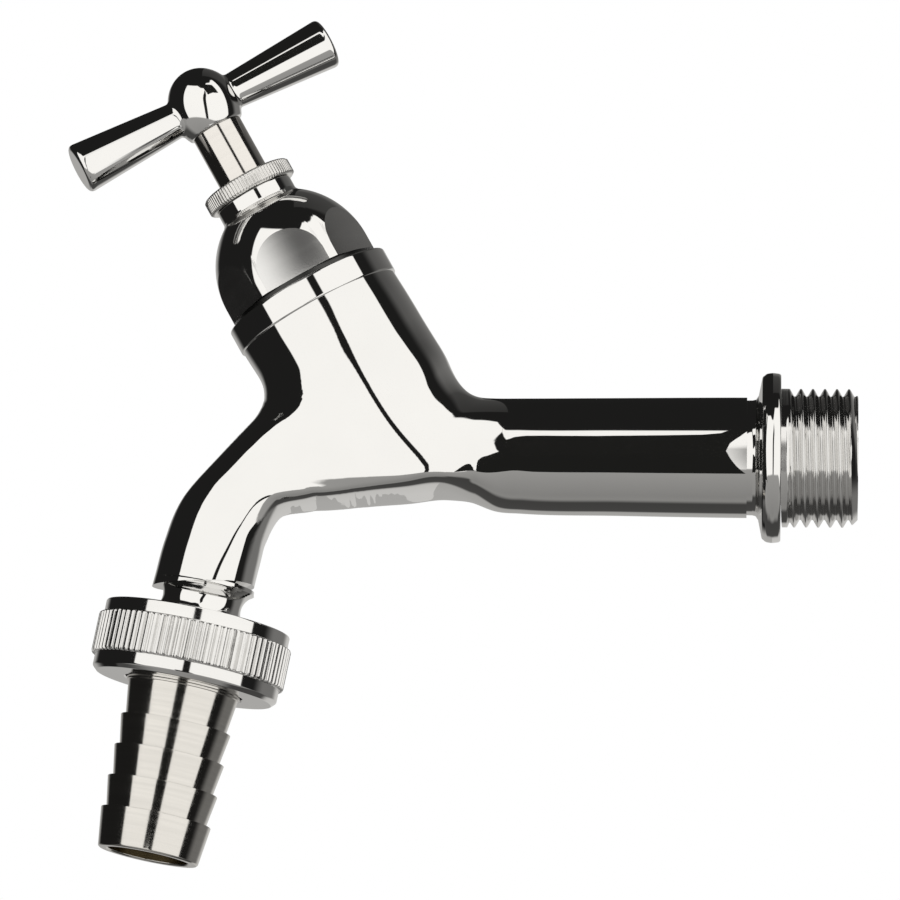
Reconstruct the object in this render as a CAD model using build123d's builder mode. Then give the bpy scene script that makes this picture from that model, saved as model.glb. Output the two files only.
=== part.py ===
from build123d import *
import math
import os

os.makedirs("parts", exist_ok=True)

# ---------------------------------------------------------------------------
# Bib tap with a screw-down valve, tee handle and hose union. Millimetres.
# Origin: on the inlet axis, in the flange face that seats on the wall.
# +X runs along the inlet thread into the wall, +Z is up.
# ---------------------------------------------------------------------------

# inlet: G1/2 pipe thread, flange and pipe
inlet_major_r = 10.4775
inlet_end_x = 11.6
inlet_chamfer = 0.7
flange_r = 12.85
flange_w = 2.7
neck_r = 8.4
pipe_r_wall = 9.1
pipe_r_valve = 8.7
waterway_r = 6.5

# bonnet axis: stands on the inlet axis and leans towards the spout
bonnet_x = -57.8
bonnet_lean = 29.4
collar_r = 13.2
collar_bottom = 24.9
collar_top = 28.8
chamber_r = 9.6
chamber_floor = 10.0
seat_top = 11.0
seat_orifice_r = 4.5
body_thread_r = 10.5
bonnet_thread_r = 10.45
gasket_thick = 0.6

# bonnet
dome_r = 12.05
dome_centre = 32.0
dome_height = 13.1
dome_flats = 21.6
flats_turn = -2.4
gland_neck_r = 6.15
gland_neck_top = 45.6
throat_r = 4.05
stuffing_r = 5.0
spindle_bore_r = 6.0

# spindle and valve
stem_r = 3.95
spindle_thread_r = 5.93
spindle_square = 5.4
jumper_r = 7.2
jumper_bottom = 14.0
jumper_top = 16.5
jumper_stem_r = 2.5

# gland
gland_head_r = 7.15
gland_head_top = 48.0

# handle
hub_centre = 61.4
hub_r = 5.35
hub_bottom = 57.3
hub_rise = 5.95
arm_reach = 21.6
arm_root_r = 2.9
arm_tip_r = 3.95
handle_turn = 8.0

# outlet: G3/4 union below the spout, leaning with the spout
outlet_x = -87.7
outlet_z = -25.1
outlet_lean = 11.2
outlet_neck_r = 6.3
outlet_bore_r = 5.0
union_major_r = 13.2
boss_top = 0.7
boss_bottom = 5.6

# union nut, washer and hose tail, measured down from the nut's top face
nut_height = 10.8
nut_band_r = 14.1
nut_knurl_r = 14.8
nut_bore_r = 13.27
nut_lip_top = 8.8
nut_hole_r = 9.0
tail_flange_r = 12.6
tail_bore_r = 6.2
barb_top_r = 8.3
barb_root_r = 7.7

# ---------------------------------------------------------------------------
# Planes and axes
# ---------------------------------------------------------------------------
lean = math.radians(bonnet_lean)
bonnet_dir = Vector(-math.sin(lean), 0, math.cos(lean))
bonnet_side = Vector(math.cos(lean), 0, math.sin(lean))
bonnet_org = Vector(bonnet_x, 0, 0)
bonnet_plane = Plane(origin=bonnet_org, x_dir=bonnet_side, z_dir=(0, -1, 0))
bonnet_axis = Axis(bonnet_org, bonnet_dir)


def across_bonnet(t):
    """Plane square to the bonnet axis, t above the inlet axis, x away from the spout."""
    return Plane(origin=bonnet_org + bonnet_dir * t, x_dir=bonnet_side, z_dir=bonnet_dir)


tilt = math.radians(outlet_lean)
outlet_up = Vector(math.sin(tilt), 0, math.cos(tilt))
outlet_side = Vector(math.cos(tilt), 0, -math.sin(tilt))
outlet_org = Vector(outlet_x, 0, outlet_z)
outlet_plane = Plane(origin=outlet_org, x_dir=outlet_side, z_dir=(0, -1, 0))
outlet_axis = Axis(outlet_org, outlet_up)


# ---------------------------------------------------------------------------
# Body: casting with inlet pipe, valve housing, spout and outlet boss
# ---------------------------------------------------------------------------
# spout sections: centre x, centre z, direction x, z, half width in plane, half depth
spout_sections = [
    (-62.5, 7.2, -0.62, -0.78, 10.4, 10.2),
    (-68.2, 1.7, -0.64, -0.77, 12.4, 10.4),
    (-73.6, -1.2, -0.69, -0.72, 8.9, 8.9),
    (-80.1, -4.9, -0.60, -0.80, 6.6, 7.7),
    (-83.9, -9.4, -0.30, -0.954, 7.1, 7.5),
    (-85.8, -15.0, -0.13, -0.99, 7.5, 7.55),
    (-87.0, -20.2, 0.0, -1.0, 7.55, 7.55),
]

# root of the pipe: x, centre z, half depth, half height
pipe_sections = [
    (-62.0, 2.4, 8.6, 8.7),
    (-56.0, 2.2, 8.7, 8.5),
    (-50.4, 1.6, 8.7, 7.8),
    (-46.5, 0.75, 8.7, 8.05),
    (-42.0, 0.0, pipe_r_valve, pipe_r_valve),
]

with BuildPart() as body:
    # pipe from the flange to the valve housing, flange and threaded end
    with BuildSketch(Plane.XZ):
        with BuildLine():
            Polyline(
                [
                    (-42.0, 0.0),
                    (-42.0, pipe_r_valve),
                    (-5.4, pipe_r_wall),
                    (-5.0, neck_r),
                    (-3.6, neck_r),
                    (-3.2, 9.8),
                    (-flange_w, flange_r - 0.5),
                    (-flange_w + 0.4, flange_r),
                    (-0.35, flange_r),
                    (0.0, flange_r - 0.35),
                    (0.0, inlet_major_r),
                    (inlet_end_x - inlet_chamfer, inlet_major_r),
                    (inlet_end_x, inlet_major_r - inlet_chamfer),
                    (inlet_end_x, 0.0),
                ],
                close=True,
            )
        make_face()
    revolve(axis=Axis.X)
    # root of the pipe, whose underside rises into the casting
    for x, centre_z, half_d, half_h in pipe_sections:
        with BuildSketch(Plane(origin=(x, 0, centre_z), x_dir=(0, 1, 0), z_dir=(1, 0, 0))):
            Ellipse(half_d, half_h)
    loft()
    # valve housing with a rounded lower end
    with BuildSketch(bonnet_plane):
        with BuildLine():
            l1 = Line((0, collar_bottom), (12.7, collar_bottom))
            l2 = Spline(
                l1 @ 1,
                (12.35, 21.0),
                (12.75, 16.0),
                (12.6, 10.5),
                (11.0, 4.6),
                tangents=[(-0.1, -1.0), (-0.25, -1.0)],
            )
            l3 = Spline(
                l2 @ 1, (7.2, -3.2), (0, -6.0), tangents=[(-0.25, -1.0), (-1.0, 0.0)]
            )
            Line(l3 @ 1, (0, collar_bottom))
        make_face()
    revolve(axis=bonnet_axis)
    # spout, lofted along its bend
    for cx, cz, dx, dz, half_w, half_d in spout_sections:
        with BuildSketch(
            Plane(origin=(cx, 0, cz), x_dir=(-dz, 0, dx), z_dir=(dx, 0, dz))
        ):
            Ellipse(half_w, half_d)
    loft()
    # rim of the housing
    with BuildSketch(across_bonnet(collar_bottom)):
        Circle(collar_r)
    extrude(amount=collar_top - collar_bottom)
    # outlet neck and threaded boss
    with BuildSketch(outlet_plane):
        with BuildLine():
            Polyline(
                [
                    (0, 7.0),
                    (outlet_neck_r, 7.0),
                    (outlet_neck_r, -boss_top),
                    (union_major_r - 0.6, -boss_top),
                    (union_major_r, -boss_top - 0.6),
                    (union_major_r, -boss_bottom + 0.4),
                    (union_major_r - 0.4, -boss_bottom),
                    (0, -boss_bottom),
                ],
                close=True,
            )
        make_face()
    revolve(axis=outlet_axis)
    # inlet waterway
    with BuildSketch(Plane.XZ):
        with BuildLine():
            Polyline(
                [
                    (inlet_end_x + 0.1, 0.0),
                    (inlet_end_x + 0.1, waterway_r + 0.6),
                    (inlet_end_x - 0.5, waterway_r),
                    (-42.5, waterway_r),
                    (-51.0, 4.0),
                    (-60.6, 4.0),
                    (-62.6, 0.0),
                ],
                close=True,
            )
        make_face()
    revolve(axis=Axis.X, mode=Mode.SUBTRACT)
    # valve chamber, raised seat, thread for the bonnet and gasket recess
    with BuildSketch(bonnet_plane):
        with BuildLine():
            Polyline(
                [
                    (0, -0.5),
                    (seat_orifice_r - 0.6, -0.5),
                    (seat_orifice_r, 0.4),
                    (seat_orifice_r, seat_top),
                    (6.0, seat_top),
                    (6.5, chamber_floor),
                    (chamber_r, chamber_floor),
                    (chamber_r, 20.5),
                    (body_thread_r, 20.5),
                    (body_thread_r, 27.6),
                    (dome_r + 0.1, 27.6),
                    (dome_r + 0.1, collar_top + 0.2),
                    (0, collar_top + 0.2),
                ],
                close=True,
            )
        make_face()
    revolve(axis=bonnet_axis, mode=Mode.SUBTRACT)
    # outlet waterway: cored down the spout, drilled up from the boss
    with BuildSketch(outlet_plane):
        with BuildLine():
            Polyline([(0, 8.0), (3.0, 8.0), (outlet_bore_r, 6.0), (outlet_bore_r, -6.0), (0, -6.0)], close=True)
        make_face()
    revolve(axis=outlet_axis, mode=Mode.SUBTRACT)
    with BuildLine() as core_line:
        FilletPolyline(
            (-72.0, 0, 10.5),
            (-74.6, 0, 3.2),
            (-80.2, 0, -4.8),
            (-84.9, 0, -12.0),
            (-86.3, 0, -18.0),
            radius=6.0,
        )
    with BuildSketch(
        Plane(
            origin=core_line.line @ 0,
            x_dir=(0, 1, 0),
            z_dir=core_line.line % 0,
        )
    ):
        Circle(3.5)
    sweep(path=core_line.line, mode=Mode.SUBTRACT)

body.part.label = "body"
export_step(body.part, "parts/body.step")

# ---------------------------------------------------------------------------
# Bonnet gasket, in the recess of the rim
# ---------------------------------------------------------------------------
with BuildPart() as bonnet_gasket:
    with BuildSketch(across_bonnet(27.6)):
        Circle(dome_r)
        Circle(bonnet_thread_r + 0.15, mode=Mode.SUBTRACT)
    extrude(amount=gasket_thick)

bonnet_gasket.part.label = "bonnet_gasket"
export_step(bonnet_gasket.part, "parts/bonnet_gasket.step")

# ---------------------------------------------------------------------------
# Bonnet: threaded shank, dome with six wrench flats, gland neck
# ---------------------------------------------------------------------------
flange_seat = 27.6 + gasket_thick
dome_angle = math.acos(gland_neck_r / dome_r)
dome_points = [
    (dome_r * math.cos(dome_angle * k / 5), dome_centre + dome_height * math.sin(dome_angle * k / 5))
    for k in range(6)
]

with BuildPart() as bonnet:
    with BuildSketch(bonnet_plane):
        with BuildLine():
            Polyline(
                (0, 20.9),
                (bonnet_thread_r - 0.55, 20.9),
                (bonnet_thread_r, 21.45),
                (bonnet_thread_r, flange_seat),
                (dome_r, flange_seat),
                (dome_r, dome_centre),
            )
            dome = Spline(
                *dome_points,
                tangents=[
                    (0, 1),
                    (-dome_r * math.sin(dome_angle), dome_height * math.cos(dome_angle)),
                ],
            )
            Polyline(
                dome @ 1,
                (gland_neck_r, gland_neck_top - 0.25),
                (gland_neck_r - 0.25, gland_neck_top),
                (0, gland_neck_top),
                (0, 20.9),
            )
        make_face()
    revolve(axis=bonnet_axis)
    # wrench flats, which run out in arches on the dome
    with BuildSketch(across_bonnet(collar_top + 0.9)):
        Circle(20)
        RegularPolygon(
            dome_flats / 2,
            6,
            major_radius=False,
            rotation=flats_turn,
            mode=Mode.SUBTRACT,
        )
    extrude(amount=11.0, mode=Mode.SUBTRACT)
    # hollow over the valve, spindle thread, throat and stuffing box
    with BuildSketch(bonnet_plane):
        with BuildLine():
            Polyline(
                [
                    (0, 20.0),
                    (7.9, 20.0),
                    (7.9, 23.5),
                    (spindle_bore_r, 23.5),
                    (spindle_bore_r, 36.6),
                    (throat_r, 36.6),
                    (throat_r, 38.2),
                    (stuffing_r, 38.2),
                    (stuffing_r, gland_neck_top + 1),
                    (0, gland_neck_top + 1),
                ],
                close=True,
            )
        make_face()
    revolve(axis=bonnet_axis, mode=Mode.SUBTRACT)

bonnet.part.label = "bonnet"
export_step(bonnet.part, "parts/bonnet.step")

# ---------------------------------------------------------------------------
# Gland: packing rings, follower ring and knurled gland screw
# ---------------------------------------------------------------------------
with BuildPart() as gland_packing:
    for bottom in (38.2, 39.85):
        with BuildSketch(across_bonnet(bottom)):
            Circle(stuffing_r - 0.02)
            Circle(stem_r + 0.05, mode=Mode.SUBTRACT)
        extrude(amount=1.55)

gland_packing.part.label = "gland_packing"
export_step(gland_packing.part, "parts/gland_packing.step")

with BuildPart() as gland_ring:
    with BuildSketch(across_bonnet(41.4)):
        Circle(stuffing_r - 0.04)
        Circle(throat_r, mode=Mode.SUBTRACT)
    extrude(amount=0.8)

gland_ring.part.label = "gland_ring"
export_step(gland_ring.part, "parts/gland_ring.step")

with BuildPart() as gland_nut:
    with BuildSketch(bonnet_plane):
        with BuildLine():
            Polyline(
                [
                    (throat_r, 42.2),
                    (stuffing_r - 0.3, 42.2),
                    (stuffing_r - 0.05, 42.5),
                    (stuffing_r - 0.05, gland_neck_top + 0.05),
                    (gland_head_r - 0.2, gland_neck_top + 0.05),
                    (gland_head_r, gland_neck_top + 0.25),
                    (gland_head_r, gland_head_top - 0.2),
                    (gland_head_r - 0.2, gland_head_top),
                    (throat_r + 0.25, gland_head_top),
                    (throat_r, gland_head_top - 0.25),
                ],
                close=True,
            )
        make_face()
    revolve(axis=bonnet_axis)

gland_nut.part.label = "gland_nut"
export_step(gland_nut.part, "parts/gland_nut.step")

# ---------------------------------------------------------------------------
# Spindle: guide hole, lifting thread, stem and driving square
# ---------------------------------------------------------------------------
with BuildPart() as spindle:
    with BuildSketch(bonnet_plane):
        with BuildLine():
            Polyline(
                [
                    (0, jumper_top + 0.02),
                    (4.2, jumper_top + 0.02),
                    (4.6, jumper_top + 0.42),
                    (4.6, 23.7),
                    (spindle_thread_r - 0.5, 24.0),
                    (spindle_thread_r, 24.5),
                    (spindle_thread_r, 30.1),
                    (spindle_thread_r - 0.5, 30.6),
                    (stem_r, 30.6),
                    (stem_r, hub_bottom),
                    (0, hub_bottom),
                ],
                close=True,
            )
        make_face()
    revolve(axis=bonnet_axis)
    # square end, turned with the handle
    with BuildSketch(
        Plane(
            origin=bonnet_org + bonnet_dir * hub_bottom,
            x_dir=bonnet_side.rotate(Axis((0, 0, 0), bonnet_dir), handle_turn),
            z_dir=bonnet_dir,
        )
    ):
        Rectangle(spindle_square, spindle_square)
    extrude(amount=6.4)
    # guide hole for the jumper's stem
    with BuildSketch(across_bonnet(jumper_top)):
        Circle(jumper_stem_r + 0.08)
    extrude(amount=9.3, mode=Mode.SUBTRACT)

spindle.part.label = "spindle"
export_step(spindle.part, "parts/spindle.step")

# ---------------------------------------------------------------------------
# Valve: jumper with its stem, seat washer and washer screw
# ---------------------------------------------------------------------------
with BuildPart() as valve_jumper:
    with BuildSketch(bonnet_plane):
        with BuildLine():
            Polyline(
                [
                    (0, jumper_bottom),
                    (jumper_r, jumper_bottom),
                    (jumper_r, jumper_top - 0.4),
                    (jumper_r - 0.4, jumper_top),
                    (jumper_stem_r, jumper_top),
                    (jumper_stem_r, 24.6),
                    (jumper_stem_r - 0.5, 25.1),
                    (0, 25.1),
                ],
                close=True,
            )
        make_face()
    revolve(axis=bonnet_axis)
    with BuildSketch(across_bonnet(jumper_bottom)):
        Circle(1.45)
    extrude(amount=4.0, mode=Mode.SUBTRACT)

valve_jumper.part.label = "valve_jumper"
export_step(valve_jumper.part, "parts/valve_jumper.step")

with BuildPart() as valve_washer:
    with BuildSketch(across_bonnet(seat_top + 0.02)):
        Circle(6.7)
        Circle(1.55, mode=Mode.SUBTRACT)
    extrude(amount=jumper_bottom - seat_top - 0.02)

valve_washer.part.label = "valve_washer"
export_step(valve_washer.part, "parts/valve_washer.step")

with BuildPart() as washer_screw:
    with BuildSketch(bonnet_plane):
        with BuildLine():
            Polyline(
                [
                    (0, seat_top - 1.5),
                    (2.6, seat_top - 1.5),
                    (3.0, seat_top - 1.1),
                    (3.0, seat_top + 0.02),
                    (1.45, seat_top + 0.02),
                    (1.45, 17.3),
                    (1.1, 17.65),
                    (0, 17.65),
                ],
                close=True,
            )
        make_face()
    revolve(axis=bonnet_axis)
    with BuildSketch(across_bonnet(seat_top - 1.5)):
        Rectangle(7.0, 0.8)
    extrude(amount=0.7, mode=Mode.SUBTRACT)

washer_screw.part.label = "washer_screw"
export_step(washer_screw.part, "parts/washer_screw.step")

# ---------------------------------------------------------------------------
# Tee handle: egg-shaped hub with two flared arms
# ---------------------------------------------------------------------------
arm_dir = bonnet_side.rotate(Axis((0, 0, 0), bonnet_dir), handle_turn)
arm_normal = bonnet_dir.cross(arm_dir)
hub_org = bonnet_org + bonnet_dir * hub_centre
# profile plane of the arms: x along the bar, y along the stem
arm_plane = Plane(origin=hub_org, x_dir=arm_dir, z_dir=arm_dir.cross(bonnet_dir))
hub_points = [
    (hub_r * math.cos(a), hub_centre + hub_rise * math.sin(a)) for a in (0.4, 0.8, 1.2)
]

with BuildPart() as t_handle:
    with BuildSketch(bonnet_plane):
        with BuildLine():
            low = ThreePointArc(
                (4.5, hub_bottom), (5.13, hub_centre - 2.05), (hub_r, hub_centre)
            )
            high = Spline(
                low @ 1, *hub_points, (0, hub_centre + hub_rise), tangents=[(0, 1), (-1, 0)]
            )
            Polyline(high @ 1, (0, hub_bottom), low @ 0)
        make_face()
    revolve(axis=bonnet_axis)
    with BuildSketch(arm_plane):
        with BuildLine():
            Polyline(
                (-arm_reach, 0),
                (-arm_reach, arm_tip_r - 0.7),
            )
            ThreePointArc(
                (-arm_reach, arm_tip_r - 0.7),
                (-arm_reach + 0.21, arm_tip_r - 0.21),
                (-arm_reach + 0.7, arm_tip_r),
            )
            Polyline((-arm_reach + 0.7, arm_tip_r), (-3.5, arm_root_r), (3.5, arm_root_r), (arm_reach - 0.7, arm_tip_r))
            ThreePointArc(
                (arm_reach - 0.7, arm_tip_r),
                (arm_reach - 0.21, arm_tip_r - 0.21),
                (arm_reach, arm_tip_r - 0.7),
            )
            Polyline((arm_reach, arm_tip_r - 0.7), (arm_reach, 0), (-arm_reach, 0))
        make_face()
    revolve(axis=Axis(hub_org, arm_dir))
    # square socket for the spindle
    with BuildSketch(
        Plane(origin=bonnet_org + bonnet_dir * (hub_bottom - 0.5), x_dir=arm_dir, z_dir=bonnet_dir)
    ):
        Rectangle(spindle_square + 0.06, spindle_square + 0.06)
    extrude(amount=7.1, mode=Mode.SUBTRACT)
    # tapped hole for the grub screw, at the back of the hub
    with BuildSketch(Plane(origin=hub_org, x_dir=arm_dir, z_dir=arm_normal)):
        Circle(1.5)
    extrude(amount=8.0, mode=Mode.SUBTRACT)

t_handle.part.label = "t_handle"
export_step(t_handle.part, "parts/t_handle.step")

with BuildPart() as handle_grub_screw:
    with BuildSketch(
        Plane(origin=hub_org + arm_normal * (spindle_square / 2 + 0.01), x_dir=arm_dir, z_dir=arm_normal)
    ):
        Circle(1.46)
    extrude(amount=2.25)
    with BuildSketch(
        Plane(origin=hub_org + arm_normal * (spindle_square / 2 + 2.26), x_dir=arm_dir, z_dir=-arm_normal)
    ):
        RegularPolygon(0.75, 6, major_radius=False)
    extrude(amount=1.2, mode=Mode.SUBTRACT)

handle_grub_screw.part.label = "handle_grub_screw"
export_step(handle_grub_screw.part, "parts/handle_grub_screw.step")

# ---------------------------------------------------------------------------
# Hose union: nut, flat washer and barbed tail
# ---------------------------------------------------------------------------
with BuildPart() as union_nut:
    with BuildSketch(outlet_plane):
        with BuildLine():
            Polyline(
                [
                    (nut_bore_r + 0.2, 0.0),
                    (nut_band_r - 0.2, 0.0),
                    (nut_band_r, -0.2),
                    (nut_band_r, -2.0),
                    (nut_knurl_r - 0.2, -2.0),
                    (nut_knurl_r, -2.2),
                    (nut_knurl_r, -8.1),
                    (nut_knurl_r - 0.2, -8.3),
                    (nut_band_r + 0.05, -8.3),
                    (nut_band_r + 0.05, -nut_height + 0.5),
                    (nut_band_r - 0.45, -nut_height),
                    (nut_hole_r, -nut_height),
                    (nut_hole_r, -nut_lip_top),
                    (nut_bore_r, -nut_lip_top),
                    (nut_bore_r, -0.2),
                ],
                close=True,
            )
        make_face()
    revolve(axis=outlet_axis)

union_nut.part.label = "union_nut"
export_step(union_nut.part, "parts/union_nut.step")

with BuildPart() as tail_washer:
    with BuildSketch(Plane(origin=outlet_org - outlet_up * 7.18, x_dir=outlet_side, z_dir=outlet_up)):
        Circle(12.4)
        Circle(7.0, mode=Mode.SUBTRACT)
    extrude(amount=1.54)

tail_washer.part.label = "tail_washer"
export_step(tail_washer.part, "parts/tail_washer.step")

with BuildPart() as hose_tail:
    with BuildSketch(outlet_plane):
        with BuildLine():
            Polyline(
                [
                    (tail_bore_r, -7.22),
                    (tail_flange_r, -7.22),
                    (tail_flange_r, -8.75),
                    (8.7, -8.75),
                    (8.7, -nut_height - 0.4),
                    (8.4, -nut_height - 0.4),
                    (7.75, -nut_height - 5.7),
                    (barb_top_r, -nut_height - 5.7),
                    (barb_root_r, -nut_height - 10.4),
                    (barb_top_r, -nut_height - 10.4),
                    (barb_root_r, -nut_height - 15.2),
                    (barb_top_r, -nut_height - 15.2),
                    (barb_root_r, -nut_height - 20.0),
                    (barb_top_r, -nut_height - 20.0),
                    (7.65, -nut_height - 25.7),
                    (7.3, -nut_height - 26.1),
                    (tail_bore_r, -nut_height - 26.1),
                ],
                close=True,
            )
        make_face()
    revolve(axis=outlet_axis)

hose_tail.part.label = "hose_tail"
export_step(hose_tail.part, "parts/hose_tail.step")
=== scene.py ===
import math

import bmesh
import bpy
import numpy as np
from mathutils import Matrix, Vector


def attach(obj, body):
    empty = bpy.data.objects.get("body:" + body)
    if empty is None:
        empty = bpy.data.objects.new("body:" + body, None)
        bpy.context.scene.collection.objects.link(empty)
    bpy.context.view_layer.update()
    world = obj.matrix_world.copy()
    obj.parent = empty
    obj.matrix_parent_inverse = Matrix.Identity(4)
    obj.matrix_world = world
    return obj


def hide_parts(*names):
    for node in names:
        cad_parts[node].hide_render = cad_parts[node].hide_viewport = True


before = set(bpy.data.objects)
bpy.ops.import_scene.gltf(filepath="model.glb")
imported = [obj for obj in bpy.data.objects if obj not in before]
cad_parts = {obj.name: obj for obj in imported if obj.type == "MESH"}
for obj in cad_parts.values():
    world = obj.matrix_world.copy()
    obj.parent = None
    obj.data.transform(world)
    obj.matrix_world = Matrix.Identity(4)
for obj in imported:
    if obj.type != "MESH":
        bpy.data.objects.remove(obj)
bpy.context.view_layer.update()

# ---------------------------------------------------------------------------
# Sizes in millimetres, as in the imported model
# ---------------------------------------------------------------------------
LEAN = math.radians(29.4)
TILT = math.radians(11.2)
P0 = np.array([-57.8, 0.0, 0.0])
BD = np.array([-math.sin(LEAN), 0.0, math.cos(LEAN)])
BU = np.array([math.cos(LEAN), 0.0, math.sin(LEAN)])
Q0 = np.array([-87.7, 0.0, -25.1])
OU = np.array([math.sin(TILT), 0.0, math.cos(TILT)])
OS = np.array([math.cos(TILT), 0.0, -math.sin(TILT)])
EY = np.array([0.0, 1.0, 0.0])
HANDLE_TURN = math.radians(8.0)


class Basis:
    """A turning axis: origin, axis direction and the direction of angle zero."""

    def __init__(self, origin, axis, side):
        self.o = np.asarray(origin, float)
        self.a = np.asarray(axis, float)
        self.s = np.asarray(side, float)
        self.t = np.cross(self.a, self.s)

    def at(self, r, th, h):
        r, th, h = np.broadcast_arrays(r, th, h)
        return (
            self.o
            + (r * np.cos(th))[..., None] * self.s
            + (r * np.sin(th))[..., None] * self.t
            + h[..., None] * self.a
        )


BONNET = Basis(P0, BD, BU)
OUTLET = Basis(Q0, OU, OS)
INLET = Basis((0, 0, 0), (1, 0, 0), (0, 0, 1))


# ---------------------------------------------------------------------------
# Mesh helpers
# ---------------------------------------------------------------------------
def new_object(name, verts_mm, faces, body, node, materials, sharp=32.0, merge=1e-4):
    mesh = bpy.data.meshes.new(name)
    mesh.from_pydata((np.asarray(verts_mm) * 0.001).tolist(), [], faces)
    bm = bmesh.new()
    bm.from_mesh(mesh)
    bmesh.ops.remove_doubles(bm, verts=bm.verts, dist=merge * 0.001)
    bmesh.ops.dissolve_degenerate(bm, edges=bm.edges, dist=merge * 0.001)
    bmesh.ops.recalc_face_normals(bm, faces=bm.faces)
    for f in bm.faces:
        f.smooth = True
    bm.to_mesh(mesh)
    bm.free()
    for m in materials:
        mesh.materials.append(m)
    mesh.set_sharp_from_angle(angle=math.radians(sharp))
    ob = bpy.data.objects.new(name, mesh)
    bpy.context.scene.collection.objects.link(ob)
    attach(ob, body)
    if node:
        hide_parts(node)
    return ob


def rounded(points, default=0.12, seg=4, closed=True):
    """Rounds a profile's corners. A point is (r, h) or (r, h, radius)."""
    out = []
    n = len(points)
    for i in range(n):
        p = points[i]
        rad = p[2] if len(p) > 2 else default
        c = np.array(p[:2], float)
        if not closed and i in (0, n - 1):
            out.append(tuple(c))
            continue
        a = np.array(points[i - 1][:2], float)
        b = np.array(points[(i + 1) % n][:2], float)
        u, v = a - c, b - c
        lu, lv = np.linalg.norm(u), np.linalg.norm(v)
        if rad <= 0 or lu < 1e-6 or lv < 1e-6 or c[0] < 1e-6:
            out.append(tuple(c))
            continue
        u, v = u / lu, v / lv
        ang = math.acos(max(-1, min(1, float(u @ v))))
        if ang > math.radians(172):
            out.append(tuple(c))
            continue
        d = min(rad / math.tan(ang / 2), 0.45 * lu, 0.45 * lv)
        p1, p2 = c + u * d, c + v * d
        r = d * math.tan(ang / 2)
        bis = (u + v) / np.linalg.norm(u + v)
        o = c + bis * (r / math.sin(ang / 2))
        a1 = math.atan2(*(p1 - o)[::-1])
        a2 = math.atan2(*(p2 - o)[::-1])
        da = (a2 - a1 + math.pi) % (2 * math.pi) - math.pi
        for k in range(seg + 1):
            t = a1 + da * k / seg
            out.append((o[0] + r * math.cos(t), o[1] + r * math.sin(t)))
    return out


def with_supports(profile, d=0.045):
    """Adds points close to both ends of each long run, so that it stays flat or straight in shading."""
    pts = [np.array(p[:2], float) for p in profile]
    out = []
    for i, a in enumerate(pts):
        b = pts[(i + 1) % len(pts)]
        out.append(tuple(a))
        length = np.linalg.norm(b - a)
        if length > 0.3 and a[0] > 1e-6 and b[0] > 1e-6:
            out.append(tuple(a + (b - a) * d / length))
            out.append(tuple(b - (b - a) * d / length))
    return out


def lathe_arrays(basis, profile, n=160, closed=True, radius=None):
    """Grid of a turned solid. radius(r, h, theta) may change the radius round the turn."""
    profile = with_supports(profile)
    prof = np.array([p[:2] for p in profile], float)
    th = np.linspace(0, 2 * math.pi, n, endpoint=False)
    R, T = np.meshgrid(prof[:, 0], th, indexing="ij")
    H, _ = np.meshgrid(prof[:, 1], th, indexing="ij")
    if radius is not None:
        R = radius(R, H, T)
    V = basis.at(R, T, H).reshape(-1, 3)
    m = len(prof)
    faces = []
    rows = m if closed else m - 1
    for i in range(rows):
        a, b = i * n, ((i + 1) % m) * n
        za, zb = prof[i, 0] < 1e-6, prof[(i + 1) % m, 0] < 1e-6
        if za and zb:
            continue
        for j in range(n):
            k = (j + 1) % n
            if za:
                faces.append((a, b + k, b + j))
            elif zb:
                faces.append((a + j, a + k, b))
            else:
                faces.append((a + j, a + k, b + k, b + j))
    return V, faces


def lathe(name, basis, profile, body, node, materials, n=160, sharp=32.0, radius=None):
    V, F = lathe_arrays(basis, profile, n, True, radius)
    return new_object(name, V, F, body, node, materials, sharp)


def smooth_window(x, a, b):
    t = np.clip((x - a) / (b - a), 0, 1)
    return t * t * (3 - 2 * t)


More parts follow.
